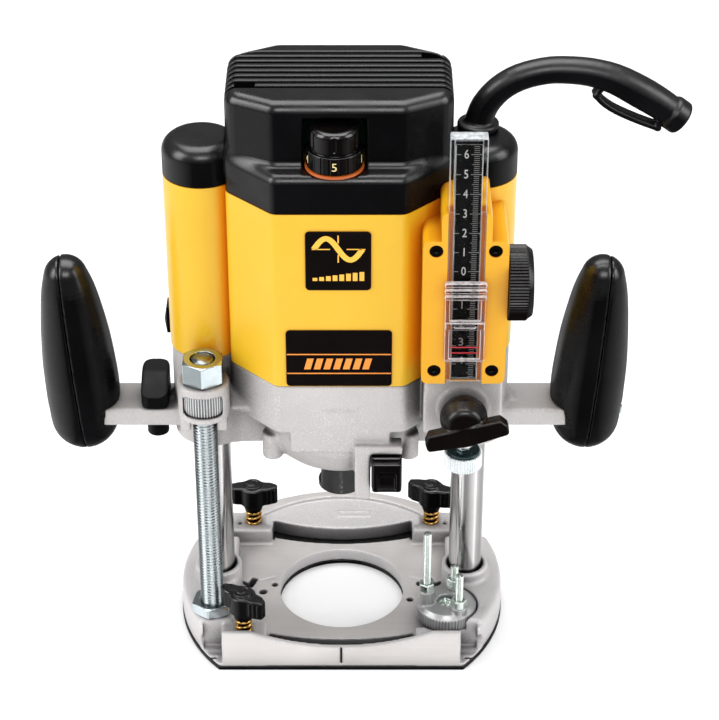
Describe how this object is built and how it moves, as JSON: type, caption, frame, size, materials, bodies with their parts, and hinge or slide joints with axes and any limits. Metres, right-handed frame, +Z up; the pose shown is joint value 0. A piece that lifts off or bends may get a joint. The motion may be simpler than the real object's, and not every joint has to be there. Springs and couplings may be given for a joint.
{
  "type": "plunge router",
  "caption": "Plunge router: motor carriage with two handles sliding on columns above a round base, with turret depth stop, fine height screw and speed dial.",
  "frame": {"origin": "on the collet axis, in the plane of the base's underside", "axes": "+X to the user's right seen from the front, +Y to the back, +Z up along the collet axis"},
  "size_m": [0.3139, 0.153, 0.3126],
  "materials": {
    "cast_metal": "light grey casting, fine blasted grain",
    "sole_plastic": "thin black laminate",
    "zinc": "bright zinc plate",
    "steel": "ground and polished steel",
    "spring_steel": "oiled spring steel",
    "brass": "brass-plated wire",
    "black_plastic": "fine-textured black nylon",
    "gloss_black": "moulded black, slight gloss",
    "yellow_plastic": "satin yellow nylon",
    "black_screw": "black oxide",
    "scale_black": "printed strip",
    "clear_plastic": "clear acrylic",
    "orange": "orange insert",
    "label": "printed label",
    "lamination": "stacked steel laminations",
    "copper": "enamelled copper wire",
    "carbon": "pressed carbon",
    "board": "potted circuit module",
    "bronze": "sintered bronze",
    "rubber": "black moulded rubber",
    "blackened_steel": "blackened steel"
  },
  "bodies": {
    "base": {"base_casting": "cast_metal", "sole_plate": "sole_plastic", "sole_screws": "zinc", "guide_columns": "steel", "column_springs": "spring_steel", "height_screw": "zinc", "height_screw_nut": "zinc", "clamp_springs": "brass", "turret_screw": "zinc"},
    "clamp_front_left": {"clamp_knob_front_left": "black_plastic"},
    "clamp_rear_left": {"clamp_knob_rear_left": "black_plastic"},
    "clamp_rear_right": {"clamp_knob_rear_right": "black_plastic"},
    "return_stop": {"return_stop_nut": "zinc"},
    "turret": {"turret_disc": "cast_metal", "turret_lock_nuts": "zinc"},
    "low_stop": {"stop_bolt_low": "zinc"},
    "middle_stop": {"stop_bolt_middle": "zinc"},
    "high_stop": {"stop_bolt_high": "zinc"},
    "carriage": {"carriage_casting": "cast_metal", "motor_housing": "yellow_plastic", "top_cover": "black_plastic", "tower_caps": "black_plastic", "handle_outer_shells": "black_plastic", "handle_inner_shells": "black_plastic", "assembly_screws": "zinc", "scale_bracket": "yellow_plastic", "bracket_screws": "black_screw", "scale_strip": "scale_black", "scale_cover": "clear_plastic", "dial_ring": "orange", "front_labels": "label", "stator_core": "lamination", "field_coils": "copper", "brush_holders": "brass", "carbon_brushes": "carbon", "bearings": "steel", "electronics_module": "board", "column_bushes": "bronze", "cable_boot": "rubber", "mains_cable": "rubber", "cable_clip": "black_plastic", "lock_knob_spring": "spring_steel"},
    "spindle": {"spindle_shaft": "steel", "armature": "lamination", "commutator": "copper", "cooling_fan": "black_plastic", "collet": "steel"},
    "nut": {"collet_nut": "blackened_steel"},
    "lever": {"plunge_lock_lever": "black_plastic"},
    "switch": {"power_switch": "black_plastic"},
    "dial": {"speed_dial": "gloss_black"},
    "rod": {"depth_rod": "steel"},
    "knob": {"depth_knob": "black_plastic"},
    "foot": {"depth_foot": "zinc"},
    "cursor": {"scale_cursor": "clear_plastic"},
    "rod_lock": {"rod_lock_knob": "gloss_black"},
    "spindle_lock": {"spindle_lock_button": "gloss_black"},
    "fine_ring": {"fine_adjust_ring": "zinc"}
  },
  "joints": [
    {"name": "plunge", "type": "slide", "parent": "base", "child": "carriage", "axis": [0, 0, -1], "range_m": [0, 0.0595], "stiffness_N_per_m": 250, "springref_m": -0.3, "deforming": ["column_springs"]},
    {"name": "turret_turn", "type": "hinge", "parent": "base", "child": "turret", "pos_m": [0.054, -0.0275, 0.014], "axis": [0, 0, -1], "continuous": true},
    {"name": "low_stop_adjust", "type": "slide", "parent": "turret", "child": "low_stop", "axis": [0, 0, 1], "range_m": [-0.004, 0.01]},
    {"name": "middle_stop_adjust", "type": "slide", "parent": "turret", "child": "middle_stop", "axis": [0, 0, 1], "range_m": [-0.005, 0.009]},
    {"name": "high_stop_adjust", "type": "slide", "parent": "turret", "child": "high_stop", "axis": [0, 0, 1], "range_m": [-0.008, 0.002]},
    {"name": "clamp_front_left_turn", "type": "hinge", "parent": "base", "child": "clamp_front_left", "pos_m": [-0.0495, -0.0465, 0.03], "axis": [0, 0, 1], "continuous": true},
    {"name": "clamp_rear_left_turn", "type": "hinge", "parent": "base", "child": "clamp_rear_left", "pos_m": [-0.048, 0.0465, 0.03], "axis": [0, 0, 1], "continuous": true},
    {"name": "clamp_rear_right_turn", "type": "hinge", "parent": "base", "child": "clamp_rear_right", "pos_m": [0.048, 0.0465, 0.03], "axis": [0, 0, 1], "continuous": true},
    {"name": "return_stop_turn", "type": "hinge", "parent": "base", "child": "return_stop", "pos_m": [-0.066, -0.031, 0.166], "axis": [0, 0, 1], "continuous": true},
    {"name": "fine_ring_turn", "type": "hinge", "parent": "carriage", "child": "fine_ring", "pos_m": [-0.066, -0.031, 0.15], "axis": [0, 0, 1], "continuous": true},
    {"name": "spindle_spin", "type": "hinge", "parent": "carriage", "child": "spindle", "pos_m": [0, 0, 0.18], "axis": [0, 0, 1], "continuous": true},
    {"name": "collet_nut_turn", "type": "hinge", "parent": "spindle", "child": "nut", "pos_m": [0, 0, 0.088], "axis": [0, 0, 1], "continuous": true},
    {"name": "plunge_lock_swing", "type": "hinge", "parent": "carriage", "child": "lever", "pos_m": [-0.092, 0, 0.13], "axis": [0, 0, 1], "range_deg": [-15, 15]},
    {"name": "switch_rock", "type": "hinge", "parent": "carriage", "child": "switch", "pos_m": [-0.081, 0.008, 0.1724], "axis": [0, 1, 0], "range_deg": [-5, 5]},
    {"name": "speed_dial_turn", "type": "hinge", "parent": "carriage", "child": "dial", "pos_m": [-0.002, -0.033, 0.285], "axis": [0, 0, 1], "range_deg": [-90, 180]},
    {"name": "depth_knob_turn", "type": "hinge", "parent": "carriage", "child": "knob", "pos_m": [0.083, -0.04475, 0.2223], "axis": [1, 0, 0], "range_deg": [-766, 212]},
    {"name": "depth_rod_slide", "type": "slide", "parent": "carriage", "child": "rod", "axis": [0, 0, 1], "range_m": [-0.06, 0.0166]},
    {"name": "depth_foot_turn", "type": "hinge", "parent": "rod", "child": "foot", "pos_m": [0.06, -0.036, 0.118], "axis": [0, 0, 1], "continuous": true},
    {"name": "cursor_slide", "type": "slide", "parent": "carriage", "child": "cursor", "axis": [0, 0, 1], "range_m": [-0.004, 0.066]},
    {"name": "rod_lock_turn", "type": "hinge", "parent": "carriage", "child": "rod_lock", "pos_m": [0.0586, -0.06, 0.156], "axis": [0, -1, 0], "range_deg": [-90, 90]},
    {"name": "spindle_lock_press", "type": "slide", "parent": "carriage", "child": "spindle_lock", "axis": [0, 1, 0], "range_m": [0, 0.004]}
  ],
  "couplings": [
    {"joint": "depth_knob_turn", "follows": "depth_rod_slide", "rad_per_m": 222.22}
  ]
}
